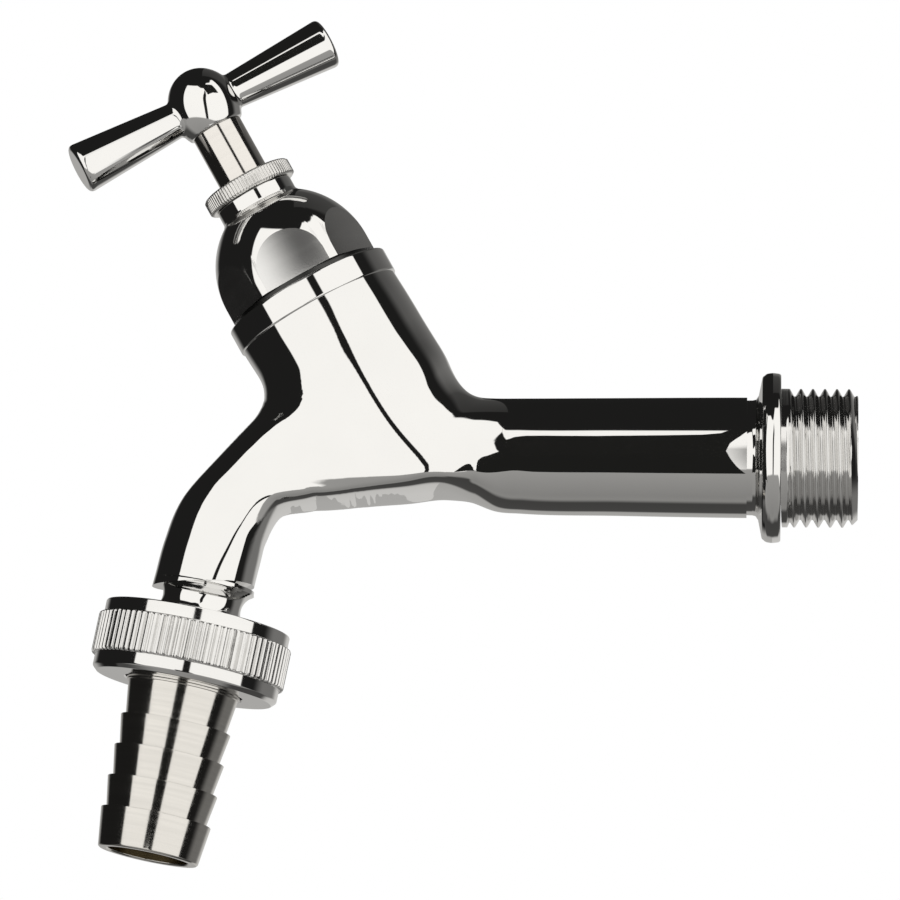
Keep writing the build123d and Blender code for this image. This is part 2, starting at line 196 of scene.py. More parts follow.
def thread_arrays(basis, x0, x1, pitch, major, minor, inner, n=180, runout=2.2, chamfer=1.0, start_plain=1.4, phase=0.0):
    """Closed threaded sleeve from x0 to x1 on the axis, cut right-handed, with a run-out at x0 and a chamfer at x1."""
    depth = major - minor
    # one pitch: crest, flank, root, flank, with rounded crest and root
    shape = [(0.0, 1.0), (0.05, 0.985), (0.09, 0.93), (0.2, 0.66), (0.31, 0.36), (0.40, 0.1), (0.45, 0.02), (0.5, 0.0),
             (0.55, 0.02), (0.60, 0.1), (0.69, 0.36), (0.8, 0.66), (0.91, 0.93), (0.95, 0.985)]
    npp = len(shape)
    turns = int(math.ceil((x1 - x0) / pitch)) + 2
    ph = np.array([s[0] for s in shape])
    dp = np.array([s[1] for s in shape])
    s_all = np.concatenate([(k + ph) * pitch for k in range(-1, turns)])
    f_all = np.concatenate([dp for _ in range(-1, turns)])
    th = np.linspace(0, 2 * math.pi, n + 1)
    S, T = np.meshgrid(s_all, th, indexing="ij")
    F0, _ = np.meshgrid(f_all, th, indexing="ij")
    X = x0 + S + pitch * (T / (2 * math.pi)) + phase
    Xc = np.clip(X, x0, x1)
    # the thread's depth at a clamped point follows its real place
    loc = ((Xc - x0 - phase) / pitch - T / (2 * math.pi)) % 1.0
    F = np.where(np.abs(X - Xc) < 1e-9, F0, np.interp(loc, np.append(ph, 1.0), np.append(dp, 1.0)))
    fade = smooth_window(Xc, x0 + start_plain, x0 + start_plain + runout)
    crest = major
    R = crest - depth * (1 - F) * fade
    R = np.minimum(R, major - chamfer + (x1 - Xc) * 1.0 + 0.0)
    R = np.maximum(R, inner + 0.4)
    rows = len(s_all)
    V = basis.at(R, T, Xc).reshape(-1, 3)
    faces = []
    w = n + 1
    for i in range(rows - 1):
        for j in range(n):
            q = (i * w + j, i * w + j + 1, (i + 1) * w + j + 1, (i + 1) * w + j)
            xs = Xc[i, j], Xc[i, j + 1], Xc[i + 1, j + 1], Xc[i + 1, j]
            if max(xs) - min(xs) < 1e-9:
                continue
            faces.append(q)
    base = len(V)
    # end faces and bore
    thn = th[:-1]
    def radius_end(x):
        loc = ((x - x0 - phase) / pitch - thn / (2 * math.pi)) % 1.0
        f = np.interp(loc, np.append(ph, 1.0), np.append(dp, 1.0))
        fd = smooth_window(np.array(x), x0 + start_plain, x0 + start_plain + runout)
        r = crest - depth * (1 - f) * fd
        r = np.minimum(r, major - chamfer + (x1 - x))
        return np.maximum(r, inner + 0.4)
    loops = [
        (radius_end(x1), x1),
        (np.full(n, inner + 0.35), x1),
        (np.full(n, inner), x1 - 0.35),
        (np.full(n, inner), x0),
        (radius_end(x0), x0),
    ]
    extra = []
    for r, x in loops:
        extra.append(basis.at(r, thn, np.full(n, x)))
    V = np.vstack([V] + extra)
    for i in range(len(loops) - 1):
        a, b = base + i * n, base + (i + 1) * n
        for j in range(n):
            k = (j + 1) % n
            faces.append((a + j, a + k, b + k, b + j))
    return V, faces


# ---------------------------------------------------------------------------
# Smooth castings: a distance field, meshed and pulled exactly onto its surface
# ---------------------------------------------------------------------------
def smin(a, b, k):
    h = np.clip(0.5 + 0.5 * (b - a) / k, 0, 1)
    return b * (1 - h) + a * h - k * h * (1 - h)


def smax(a, b, k):
    return -smin(-a, -b, k)


def curve(x, xs, ys):
    xs = np.asarray(xs, float)
    ys = np.asarray(ys, float)
    m = np.gradient(ys, xs)
    x = np.clip(x, xs[0], xs[-1])
    i = np.clip(np.searchsorted(xs, x, side="right") - 1, 0, len(xs) - 2)
    h = xs[i + 1] - xs[i]
    t = (x - xs[i]) / h
    t2, t3 = t * t, t * t * t
    return (
        (2 * t3 - 3 * t2 + 1) * ys[i]
        + (t3 - 2 * t2 + t) * h * m[i]
        + (-2 * t3 + 3 * t2) * ys[i + 1]
        + (t3 - t2) * h * m[i + 1]
    )


PIPE_X = [-64, -56, -51, -47, -43, -39, -25, -5, 10]
PIPE_TOP = [8.82, 8.82, 8.82, 8.82, 8.72, 8.75, 8.9, 9.1, 9.1]
PIPE_BOTTOM = [-5.12, -5.97, -5.92, -6.80, -8.35, -8.68, -8.9, -9.1, -9.1]
PIPE_DEPTH = [8.6, 8.6, 8.6, 8.6, 8.65, 8.7, 8.9, 9.1, 9.1]
HOUSING_T = [-2, 4, 9, 13, 17, 21, 24.9, 30]
HOUSING_R = [7.884, 11.079, 12.251, 12.591, 12.86, 12.93, 12.95, 12.95]
HOUSING_U = [0.832, 0.844, 0.87, 0.669, 0.415, 0.218, 0, 0]
SPOUT = [
    [-62.04, 7.02],
    [-68.16, 2.45],
    [-74.27, -0.59],
    [-79.8, -4.34],
    [-84.09, -10.25],
    [-85.88, -15.48],
    [-87.04, -20.28],
    [-88.33, -25.71],
]
SPOUT_A = [11.08, 10.14, 8.27, 6.4, 7.11, 7.43, 7.5, 7.6]
SPOUT_B = [10.4, 10.0, 8.7, 7.6, 7.4, 7.45, 7.5, 7.6]


def pipe_field(x, y, z):
    top, bot = curve(x, PIPE_X, PIPE_TOP), curve(x, PIPE_X, PIPE_BOTTOM)
    zc, h, b = (top + bot) / 2, (top - bot) / 2, curve(x, PIPE_X, PIPE_DEPTH)
    d = (np.sqrt(((z - zc) / h) ** 2 + (y / b) ** 2) - 1) * np.minimum(h, b)
    e = -62.0 - x
    return np.where(e > 0, np.sqrt(np.maximum(d + 6, 0) ** 2 + np.maximum(e, 0) ** 2) - 6, d)


def housing_field(x, y, z):
    dx = x - P0[0]
    t = -dx * math.sin(LEAN) + z * math.cos(LEAN)
    u = dx * math.cos(LEAN) + z * math.sin(LEAN)
    r, c = curve(t, HOUSING_T, HOUSING_R), curve(t, HOUSING_T, HOUSING_U)
    d = np.sqrt((u - c) ** 2 + y**2) - r
    e = np.maximum(4.771 - t, 0)
    return np.where(e > 0, np.sqrt(np.maximum(d + 8, 0) ** 2 + e**2) - 8, d)


def spout_line(n=12):
    C = np.asarray(SPOUT, float)
    P = np.vstack([2 * C[0] - C[1], C, 2 * C[-1] - C[-2]])
    pts, par = [], []
    for i in range(1, len(P) - 2):
        for k in range(n):
            t = k / n
            a, b, c, d = P[i - 1], P[i], P[i + 1], P[i + 2]
            pts.append(
                0.5
                * (
                    2 * b
                    + (c - a) * t
                    + (2 * a - 5 * b + 4 * c - d) * t * t
                    + (-a + 3 * b - 3 * c + d) * t**3
                )
            )
            par.append(i - 1 + t)
    pts.append(P[-2])
    par.append(len(P) - 3)
    return np.array(pts), np.array(par)


SPOUT_PTS, SPOUT_PAR = spout_line()


def spout_field(x, y, z):
    shape = x.shape
    X, Y, Z = x.ravel(), y.ravel(), z.ravel()
    best = np.full(X.shape, 1e9)
    at = np.zeros(X.shape)
    S = SPOUT_PTS
    for i in range(len(S) - 1):
        a, d = S[i], S[i + 1] - S[i]
        t = ((X - a[0]) * d[0] + (Z - a[1]) * d[1]) / (d @ d)
        t = np.maximum(t, 0)
        if i < len(S) - 2:
            t = np.minimum(t, 1)
        q = (X - a[0] - t * d[0]) ** 2 + (Z - a[1] - t * d[1]) ** 2
        m = q < best
        best = np.where(m, q, best)
        at = np.where(m, SPOUT_PAR[i] + np.clip(t, 0, 1) * (SPOUT_PAR[i + 1] - SPOUT_PAR[i]), at)
    k = np.arange(len(SPOUT))
    A, B = curve(at, k, SPOUT_A), curve(at, k, SPOUT_B)
    return ((np.sqrt(best / A**2 + (Y / B) ** 2) - 1) * np.minimum(A, B)).reshape(shape)


# rounding radius of the casting's edge at places (x, z), blended between them
EDGE = [
    (-71.5, 24.4, 12.95), (-66, 14.5, 12.9), (-79, 16, 12.9), (-56, 19, 11.0), (-53, 14, 9.0), (-60, 28, 12.9), (-84, 26, 12.9),
    (-76, 8.5, 8.6), (-81, 3.5, 6.2), (-85.5, -2.5, 5.6), (-89, -6, 6.0), (-91, -12, 7.0), (-92, -20, 7.4),
    (-87, -20, 7.2), (-81, -20, 6.6), (-86, -12, 6.2), (-80, -14.5, 4.2), (-79, -9, 2.6), (-73, -6.5, 1.5), (-83, -8, 3.6),
    (-69, -6.2, 1.1), (-66, -5.8, 1.0), (-60, -5.8, 1.0), (-55, -6.4, 1.0), (-50, -6.8, 1.4), (-46, -7.6, 4.0), (-42, -6, 8.6),
    (-42, 5, 8.7), (-36, 0, 8.8), (-50, 10, 5.8), (-44, 10, 7.6), (-47, 5, 7.0), (-55, 6, 7.5), (-60, 0, 2.0), (-68, 0, 2.0),
    (-68, 6, 8.0), (-75, 0, 4.8), (-76, -3.5, 3.2), (-53, -1, 2.2), (-48, -1, 4.5),
]
# the casting's side ridge, as x at height z, with the half depth on it
RIDGE_Z = [-9, -6.2, -4.5, -1.6, 2.5, 7.35, 14.2, 19.0, 24.0]
RIDGE_X = [-47.0, -48.9, -52.2, -55.0, -58.5, -61.8, -65.5, -68.5, -71.3]
RIDGE_D = [11.6, 11.55, 11.5, 11.45, 11.45, 11.75, 12.4, 12.8, 12.95]
SPOUT_Z = [-26, -20.3, -15.5, -10.2, -6.5, -3.0, 0.0]
SPOUT_X = [-88.4, -87.0, -85.9, -84.1, -82.0, -79.0, -74.0]


def body_sections(x, z):
    """Edge radius and half depth of the casting at (x, z)."""
    dx = x - P0[0]
    t = -dx * math.sin(LEAN) + z * math.cos(LEAN)
    num = np.zeros_like(x)
    den = np.full_like(x, 1e-12)
    for cx, cz, r in EDGE:
        reach = 5.6 if cz > 3.0 and cx > -73 else 4.0
        w = np.exp(-((x - cx) ** 2 + (z - cz) ** 2) / (2 * reach**2))
        num += w * r
        den += w
    rho = np.where(den < 1e-9, 9.0, num / den)
    top, bot = curve(x, PIPE_X, PIPE_TOP), curve(x, PIPE_X, PIPE_BOTTOM)
    h = (top - bot) / 2
    wp = smooth_window(x, -46.0, -40.0)
    rho = rho * (1 - wp) + h * wp
    wh = smooth_window(t, 10.0, 24.0)
    rh = curve(t, HOUSING_T, HOUSING_R)
    rho = rho * (1 - wh) + rh * wh
    # half depth: a ridge falling away to the spout on one side and to the pipe on the other
    w = x - curve(z, RIDGE_Z, RIDGE_X)
    soft = 1.6
    fall = np.sqrt(w * w + soft * soft) - soft
    depth = curve(z, RIDGE_Z, RIDGE_D) - np.where(w < 0, 0.12, 0.19) * fall
    depth = depth * (1 - wh) + rh * wh
    side = np.clip(x - curve(z, SPOUT_Z, SPOUT_X), -6, 4)
    ws = smooth_window(-z, 4.0, 12.0)
    depth = depth * (1 - ws) + (7.45 + 0.11 * side) * ws
    wq = smooth_window(x, -51.0, -39.5)
    depth = depth * (1 - wq) + curve(x, PIPE_X, PIPE_DEPTH) * wq
    # the web's underside is squarer than a round tube
    wx = smooth_window(x, -80.0, -74.0) * (1 - smooth_window(x, -52.0, -46.0))
    wz = 1 - smooth_window(z, -2.0, 3.0)
    power = 2.0 + 1.3 * wx * wz
    return rho, np.maximum(depth, 6.0), power


def outline_field(x, z):
    y = np.zeros_like(x)
    d = smin(housing_field(x, y, z), spout_field(x, y, z), 4.951)
    return smin(d, pipe_field(x, y, z), 4.93)


def body_field(x, y, z):
    """The side outline, puffed out to the local depth with a local edge radius."""
    if x.ndim == 3:
        s2 = outline_field(x[:, 0, :], z[:, 0, :])[:, None, :]
        r2, d2, p2 = [v[:, None, :] for v in body_sections(x[:, 0, :], z[:, 0, :])]
    else:
        s2 = outline_field(x, z)
        r2, d2, p2 = body_sections(x, z)
    e = np.maximum(r2 + s2, 0) / r2
    q = np.abs(y) / d2
    return ((e**p2 + q**p2 + 1e-12) ** (1 / p2) - 1) * np.minimum(r2, d2)


def surface_nets(field, low, high, h):
    """Quads round the zero level of a field, on a grid of step h."""
    axes = [np.arange(low[i], high[i] + h, h) for i in range(3)]
    G = np.meshgrid(*axes, indexing="ij")
    F = field(*G)
    F = np.where(np.abs(F) < 1e-9, 1e-9, F)
    S = F < 0
    nx, ny, nz = F.shape
    acc = np.zeros((nx - 1, ny - 1, nz - 1, 3))
    cnt = np.zeros((nx - 1, ny - 1, nz - 1))
    quads = []
    index = np.arange((nx - 1) * (ny - 1) * (nz - 1)).reshape(nx - 1, ny - 1, nz - 1)
    for ax in range(3):
        a = [slice(None)] * 3
        b = [slice(None)] * 3
        a[ax], b[ax] = slice(0, -1), slice(1, None)
        fa, fb = F[tuple(a)], F[tuple(b)]
        cross = S[tuple(a)] != S[tuple(b)]
        t = np.where(cross, fa / np.where(cross, fa - fb, 1), 0)
        pos = np.stack(
            [
                np.broadcast_to(
                    axes[i].reshape([-1 if j == i else 1 for j in range(3)]), F.shape
                )[tuple(a)]
                for i in range(3)
            ],
            -1,
        ).copy()
        pos[..., ax] += t * h
        o1, o2 = [i for i in range(3) if i != ax]
        for s1 in (0, 1):
            for s2 in (0, 1):
                # cell (.., i1 - s1, i2 - s2)
                src = [slice(None)] * 3
                dst = [slice(None)] * 3
                src[o1] = slice(s1, F.shape[o1] - 1 + s1)
                src[o2] = slice(s2, F.shape[o2] - 1 + s2)
                c = cross[tuple(src)]
                acc[tuple(dst)] += np.where(c[..., None], pos[tuple(src)], 0)
                cnt[tuple(dst)] += c
        inner = [slice(None)] * 3
        inner[o1] = slice(1, -1)
        inner[o2] = slice(1, -1)
        c = cross[tuple(inner)]
        i0, i1, i2 = np.nonzero(c)
        idx = [i0, i1, i2]
        base = list(idx)
        cells = []
        for s1, s2 in ((0, 0), (1, 0), (1, 1), (0, 1)):
            q = list(base)
            q[o1] = idx[o1] + s1
            q[o2] = idx[o2] + s2
            cells.append(index[tuple(q)])
        full = list(idx)
        full[o1] = idx[o1] + 1
        full[o2] = idx[o2] + 1
        inside = S[tuple(full)]
        Qd = np.stack(cells, -1)
        flip = inside if ax != 1 else ~inside
        Qd[~flip] = Qd[~flip][:, ::-1]
        quads.append(Qd)
    used = cnt > 0
    verts = acc[used] / cnt[used][:, None]
    remap = np.full(index.size, -1)
    remap[index[used]] = np.arange(len(verts))
    quads = remap[np.vstack(quads)]
    return verts, quads


def gradient(field, V, e=0.02):
    g = np.zeros_like(V)
    for i in range(3):
        d = np.zeros(3)
        d[i] = e
        A, B = V + d, V - d
        g[:, i] = (field(A[:, 0], A[:, 1], A[:, 2]) - field(B[:, 0], B[:, 1], B[:, 2])) / (2 * e)
    return g


def pull(field, V, steps=4, limit=0.4):
    for _ in range(steps):
        f = field(V[:, 0], V[:, 1], V[:, 2])
        g = gradient(field, V)
        step = g * (f / np.maximum((g**2).sum(1), 1e-6))[:, None]
        n = np.linalg.norm(step, axis=1)
        step *= np.minimum(1, limit / np.maximum(n, 1e-9))[:, None]
        V = V - step
    return V


def field_object(name, field, low, high, h, cuts, body, node, materials):
    """cuts: (point, outward normal) planes that end the casting with a flat, sharp-edged face."""
    V, Qd = surface_nets(field, low, high, h)
    V = pull(field, V)
    mesh = bpy.data.meshes.new(name)
    mesh.from_pydata((V * 0.001).tolist(), [], Qd.tolist())
    bm = bmesh.new()
    bm.from_mesh(mesh)
    bmesh.ops.recalc_face_normals(bm, faces=bm.faces)
    caps = bm.faces.layers.int.new("cap")
    for k, (point, normal) in enumerate(cuts):
        bmesh.ops.bisect_plane(
            bm,
            geom=bm.verts[:] + bm.edges[:] + bm.faces[:],
            dist=1e-7,
            plane_co=Vector(point) * 0.001,
            plane_no=Vector(normal),
            clear_outer=True,
        )
        edge = [e for e in bm.edges if e.is_boundary]
        made = bmesh.ops.contextual_create(bm, geom=edge)
        for f in made["faces"]:
            f[caps] = k + 1
    bmesh.ops.recalc_face_normals(bm, faces=bm.faces)
    for f in bm.faces:
        f.smooth = f[caps] == 0
    for e in bm.edges:
        fs = e.link_faces
        if len(fs) == 2 and (fs[0][caps] != fs[1][caps]):
            e.smooth = False
    bm.to_mesh(mesh)
    bm.free()
    for m in materials:
        mesh.materials.append(m)
    # exact normals from the field on the casting's own faces
    co = np.zeros(len(mesh.vertices) * 3)
    mesh.vertices.foreach_get("co", co)
    co = co.reshape(-1, 3) * 1000
    g = gradient(field, co, e=0.3)
    g /= np.maximum(np.linalg.norm(g, axis=1), 1e-9)[:, None]
    loops = np.zeros((len(mesh.loops), 3))
    lv = np.zeros(len(mesh.loops), int)
    mesh.loops.foreach_get("vertex_index", lv)
    loops[:] = g[lv]
    for p in mesh.polygons:
        if not p.use_smooth:
            for li in p.loop_indices:
                loops[li] = p.normal
    mesh.normals_split_custom_set(loops.tolist())
    ob = bpy.data.objects.new(name, mesh)
    bpy.context.scene.collection.objects.link(ob)
    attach(ob, body)
    if node:
        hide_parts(node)
    return ob


# ---------------------------------------------------------------------------
# Materials
# ---------------------------------------------------------------------------
def clear_material(name):
    m = bpy.data.materials.new(name)
    m.use_nodes = True
    nt = m.node_tree
    for n in list(nt.nodes):
        nt.nodes.remove(n)
    out = nt.nodes.new("ShaderNodeOutputMaterial")
    bsdf = nt.nodes.new("ShaderNodeBsdfPrincipled")
    nt.links.new(bsdf.outputs["BSDF"], out.inputs["Surface"])
    return m, nt, bsdf


def coords(nt, rotation=(0, 0, 0), scale=(1, 1, 1)):
    """Object coordinates, turned first and scaled after."""
    vec = nt.nodes.new("ShaderNodeTexCoord").outputs["Object"]
    for field, value in (("Rotation", rotation), ("Scale", scale)):
        mp = nt.nodes.new("ShaderNodeMapping")
        mp.inputs[field].default_value = value
        nt.links.new(vec, mp.inputs["Vector"])
        vec = mp.outputs["Vector"]
    return vec


def noise(nt, vec, scale, detail=2.0, rough=0.5, distortion=0.0):
    n = nt.nodes.new("ShaderNodeTexNoise")
    n.inputs["Scale"].default_value = scale
    n.inputs["Detail"].default_value = detail
    n.inputs["Roughness"].default_value = rough
    n.inputs["Distortion"].default_value = distortion
    nt.links.new(vec, n.inputs["Vector"])
    return n.outputs["Fac"]


def ramp(nt, fac, stops):
    r = nt.nodes.new("ShaderNodeValToRGB")
    e = r.color_ramp.elements
    e[0].position, e[0].color = stops[0][0], (*stops[0][1], 1)
    e[1].position, e[1].color = stops[1][0], (*stops[1][1], 1)
    for p, c in stops[2:]:
        x = e.new(p)
        x.color = (*c, 1)
    nt.links.new(fac, r.inputs["Fac"])
    return r.outputs["Color"]


def span(nt, fac, a, b, c, d):
    r = nt.nodes.new("ShaderNodeMapRange")
    r.inputs["From Min"].default_value = a
    r.inputs["From Max"].default_value = b
    r.inputs["To Min"].default_value = c
    r.inputs["To Max"].default_value = d
    nt.links.new(fac, r.inputs["Value"])
    return r.outputs["Result"]


def bump(nt, height, strength, distance, normal=None):
    b = nt.nodes.new("ShaderNodeBump")
    b.inputs["Strength"].default_value = strength
    b.inputs["Distance"].default_value = distance
    nt.links.new(height, b.inputs["Height"])
    if normal is not None:
        nt.links.new(normal, b.inputs["Normal"])
    return b.outputs["Normal"]


def math_node(nt, op, a, b=None, clamp=False):
    n = nt.nodes.new("ShaderNodeMath")
    n.operation = op
    n.use_clamp = clamp
    for i, v in enumerate((a, b)):
        if v is None:
            continue
        if isinstance(v, (int, float)):
            n.inputs[i].default_value = v
        else:
            nt.links.new(v, n.inputs[i])
    return n.outputs[0]


def chrome(name, base=(0.80, 0.795, 0.785), rough=(0.035, 0.075), wave=0.0, wave_scale=60.0, specks=0.25):
    """Polished chrome plate: faint handling marks, hairline polish and a slow waviness."""
    m, nt, b = clear_material(name)
    b.inputs["Metallic"].default_value = 1.0
    v = coords(nt)
    large = noise(nt, v, 90, 3, 0.6)
    fine = noise(nt, v, 1400, 2, 0.5)
    col = ramp(
        nt,
        large,
        [(0.3, tuple(c * 0.975 for c in base)), (0.7, base)],
    )
    nt.links.new(col, b.inputs["Base Color"])
    mark = math_node(nt, "MULTIPLY", span(nt, large, 0.45, 0.75, 0.0, 1.0), fine)
    nt.links.new(span(nt, mark, 0.0, 0.7, rough[0], rough[1]), b.inputs["Roughness"])
    hair = noise(nt, coords(nt, (0.3, 0.2, 0.5), (900, 160, 2600)), 1.0, 2, 0.6)
    n1 = bump(nt, hair, specks * 0.02, 0.00002)
    if wave > 0:
        slow = noise(nt, coords(nt, (0, 0, 0), (0.7, 1.0, 1.3)), wave_scale, 1, 0.3)
        n1 = bump(nt, slow, 1.0, wave, n1)
    nt.links.new(n1, b.inputs["Normal"])
    return m


def turned_metal(name, base, axis_rotation, rough=(0.12, 0.22), groove=9000.0, depth=0.000004, strength=0.35, band=500.0, tint=0.93):
    """Turned, plated metal with fine tool marks round its axis. axis_rotation brings the axis onto Z."""
    m, nt, b = clear_material(name)
    b.inputs["Metallic"].default_value = 1.0
    v = coords(nt, axis_rotation, (1, 1, 1))
    fine = noise(nt, coords(nt, axis_rotation, (25, 25, groove)), 1.0, 2, 0.6)
    wide = noise(nt, coords(nt, axis_rotation, (40, 40, band)), 1.0, 2, 0.5)
    blotch = noise(nt, v, 180, 3, 0.55)
    col = ramp(nt, wide, [(0.25, tuple(c * tint for c in base)), (0.75, base)])
    nt.links.new(col, b.inputs["Base Color"])
    r = math_node(nt, "MULTIPLY", wide, blotch)
    nt.links.new(span(nt, r, 0.1, 0.45, rough[0], rough[1]), b.inputs["Roughness"])
    n1 = bump(nt, fine, strength, depth)
    n2 = bump(nt, wide, 0.25, 0.000006, n1)
    nt.links.new(n2, b.inputs["Normal"])
    return m


def soft_material(name, base, dark, rough, scale, height):
    m, nt, b = clear_material(name)
    v = coords(nt)
    big = noise(nt, v, scale * 0.2, 3, 0.6)
    fine = noise(nt, v, scale, 3, 0.6)
    mix = math_node(nt, "MULTIPLY", big, 0.6)
    mix = math_node(nt, "ADD", mix, math_node(nt, "MULTIPLY", fine, 0.4))
    nt.links.new(ramp(nt, mix, [(0.35, dark), (0.65, base)]), b.inputs["Base Color"])
    nt.links.new(span(nt, fine, 0.3, 0.7, rough - 0.06, rough + 0.08), b.inputs["Roughness"])
    nt.links.new(bump(nt, fine, 0.5, height), b.inputs["Normal"])
    return m


TO_BONNET = (0, LEAN, 0)
TO_OUTLET = (0, -TILT, 0)
TO_INLET = (0, -math.pi / 2, 0)

M_CAST = chrome("cast_chrome", (0.80, 0.797, 0.787), (0.03, 0.06), wave=0.000003, wave_scale=45, specks=0.2)
M_CHROME = chrome("polished_chrome", (0.81, 0.806, 0.796), (0.03, 0.06), wave=0.000004, wave_scale=120)
M_FLAT = turned_metal("flat_satin", (0.80, 0.795, 0.785), TO_BONNET, (0.20, 0.27), 9000, 0.000003, 0.25)
# near-black base colour for the groove under the bonnet flats: painted shade in the recess, not a finish of the metal
M_RECESS_PAINTED_SHADE = turned_metal("recess_painted_shade", (0.10, 0.10, 0.098), TO_BONNET, (0.25, 0.45), 2600, 0.00001, 0.5, tint=0.6)
M_ARM = chrome("handle_chrome", (0.81, 0.806, 0.796), (0.035, 0.07), wave=0.00001, wave_scale=110)
M_THREAD = turned_metal("thread_chrome", (0.78, 0.775, 0.765), TO_INLET, (0.05, 0.14), 2500, 0.000004, 0.2)
M_BOSS = turned_metal("boss_thread_chrome", (0.78, 0.775, 0.765), TO_OUTLET, (0.06, 0.16), 5000, 0.000004, 0.3)
M_STEM = turned_metal("stem_satin", (0.775, 0.75, 0.715), TO_BONNET, (0.07, 0.12), 9000, 0.000004, 0.35, band=1500.0, tint=0.93)
M_GLAND = turned_metal("gland_satin", (0.80, 0.79, 0.77), TO_BONNET, (0.14, 0.26), 11000, 0.000004, 0.35)
M_TAIL = turned_metal("tail_satin", (0.71, 0.69, 0.655), TO_OUTLET, (0.08, 0.15), 7000, 0.000006, 0.45, band=1800.0, tint=0.90)
M_BRASS_BORE = turned_metal("tail_bore_brass", (0.22, 0.17, 0.09), TO_OUTLET, (0.35, 0.55), 3000, 0.00002, 0.5, tint=0.6)
M_NUT = turned_metal("nut_bands", (0.80, 0.796, 0.786), TO_OUTLET, (0.04, 0.08), 16000, 0.000001, 0.2)
M_KNURL = turned_metal("nut_knurl", (0.79, 0.785, 0.775), TO_OUTLET, (0.10, 0.22), 2500, 0.00001, 0.4, tint=0.9)
M_BRASS = turned_metal("turned_brass", (0.73, 0.54, 0.27), TO_BONNET, (0.16, 0.3), 6000, 0.000006, 0.4, tint=0.88)
M_STEEL = turned_metal("blackened_steel", (0.20, 0.20, 0.205), TO_BONNET, (0.3, 0.45), 3000, 0.000006, 0.4, tint=0.8)
M_RUBBER = soft_material("black_rubber", (0.035, 0.035, 0.036), (0.018, 0.018, 0.018), 0.62, 2600, 0.00002)
M_FIBRE = soft_material("red_fibre", (0.36, 0.085, 0.05), (0.22, 0.05, 0.03), 0.68, 3000, 0.00003)
M_PACKING = soft_material("graphited_packing", (0.09, 0.09, 0.095), (0.04, 0.04, 0.045), 0.5, 3500, 0.00003)
M_BORE = turned_metal("waterway_brass", (0.35, 0.27, 0.14), TO_INLET, (0.3, 0.5), 2000, 0.00002, 0.5, tint=0.7)


# ---------------------------------------------------------------------------
# Body: casting, rim, inlet end and outlet boss
# ---------------------------------------------------------------------------
def bonnet_point(t):
    return P0 + BD * t


def build_body():
    h = 0.45
    field_object(
        "body_casting",
        body_field,
        (-98, -14.5, -23),
        (-3.5, 14.5, 30),
        h,
        [
            (bonnet_point(25.05), BD),
            ((-5.15, 0, 0), (1, 0, 0)),
            ((0, 0, -20.2), (0, 0, -1)),
        ],
        "tap_body",
        "body",
        [M_CAST],
    )
    lathe(
        "body_rim",
        BONNET,
        rounded(
            [
                (10.5, 24.6, 0),
                (12.6, 24.6, 0),
                (12.6, 24.9, 0),
                (13.2, 24.9, 0.28),
                (13.2, 28.8, 0.3),
                (12.15, 28.8, 0.15),
                (12.15, 27.6, 0),
                (10.5, 27.6, 0.1),
            ]
        ),
        "tap_body",
        "body",
        [M_CHROME],
        n=240,
    )
    # pipe end: groove and barrel-edged flange
    lathe(
        "body_flange",
        INLET,
        rounded(
            [
                (6.5, -5.9, 0),
                (8.66, -5.9, 0),
                (8.68, -4.3, 0.5),
                (8.8, -3.8, 0.2),
                (9.4, -3.4, 0.3),
                (10.4, -3.2, 0.5),
                (12.2, -2.85, 0.5),
                (12.72, -2.2, 0.8),
                (12.86, -1.3, 2.5),
                (12.74, -0.3, 0.8),
                (12.55, -0.02, 0.25),
                (6.5, -0.02, 0),
            ],
            seg=6,
        ),
        "tap_body",
        "body",
        [M_CHROME],
        n=240,
        sharp=40,
    )
    V, F = thread_arrays(INLET, -0.4, 11.6, 1.814, 10.4775, 9.3155, 6.5, n=200, runout=0.6, start_plain=1.35, chamfer=1.15, phase=1.5)
    ob = new_object("body_inlet_thread", V, F, "tap_body", "body", [M_THREAD], sharp=50)
    # inlet waterway, seen from the threaded end
    lathe(
        "body_inlet_bore",
        INLET,
        rounded([(7.6, -41.5, 0), (7.6, -0.5, 0), (6.5, -0.45, 0), (6.5, -40.5, 0.5), (3.9, -41.0, 0.2), (0, -41.0, 0), (0, -41.5, 0)]),
        "tap_body",
        "body",
        [M_BORE],
        n=96,
    )
    # neck below the spout and threaded boss inside the union nut
    lathe(
        "body_outlet_neck",
        OUTLET,
        [(5.0, 5.6), (7.4, 5.6), (7.45, 5.1)]
        + [(6.0 + 2.9 - math.sqrt(2.9**2 - (h - 2.4) ** 2), h) for h in np.linspace(4.95, -0.15, 22)]
        + [(7.9, -0.35), (8.6, -0.5), (8.6, -3.0), (5.0, -3.0)],
        "tap_body",
        "body",
        [M_CHROME],
        n=160,
    )
    down = Basis(Q0, -OU, OS)
    V, F = thread_arrays(down, 0.7, 5.6, 1.814, 13.2, 12.06, 5.0, n=200, runout=0.7, start_plain=0.25, chamfer=0.7, phase=0.2)
    new_object("body_outlet_thread", V, F, "tap_body", "body", [M_BOSS], sharp=50)


# ---------------------------------------------------------------------------
# Bonnet: dome with six flats
# ---------------------------------------------------------------------------
DOME_R, DOME_C, DOME_H = 12.05, 32.0, 13.1
FLAT = 10.8
LEDGE = 29.75


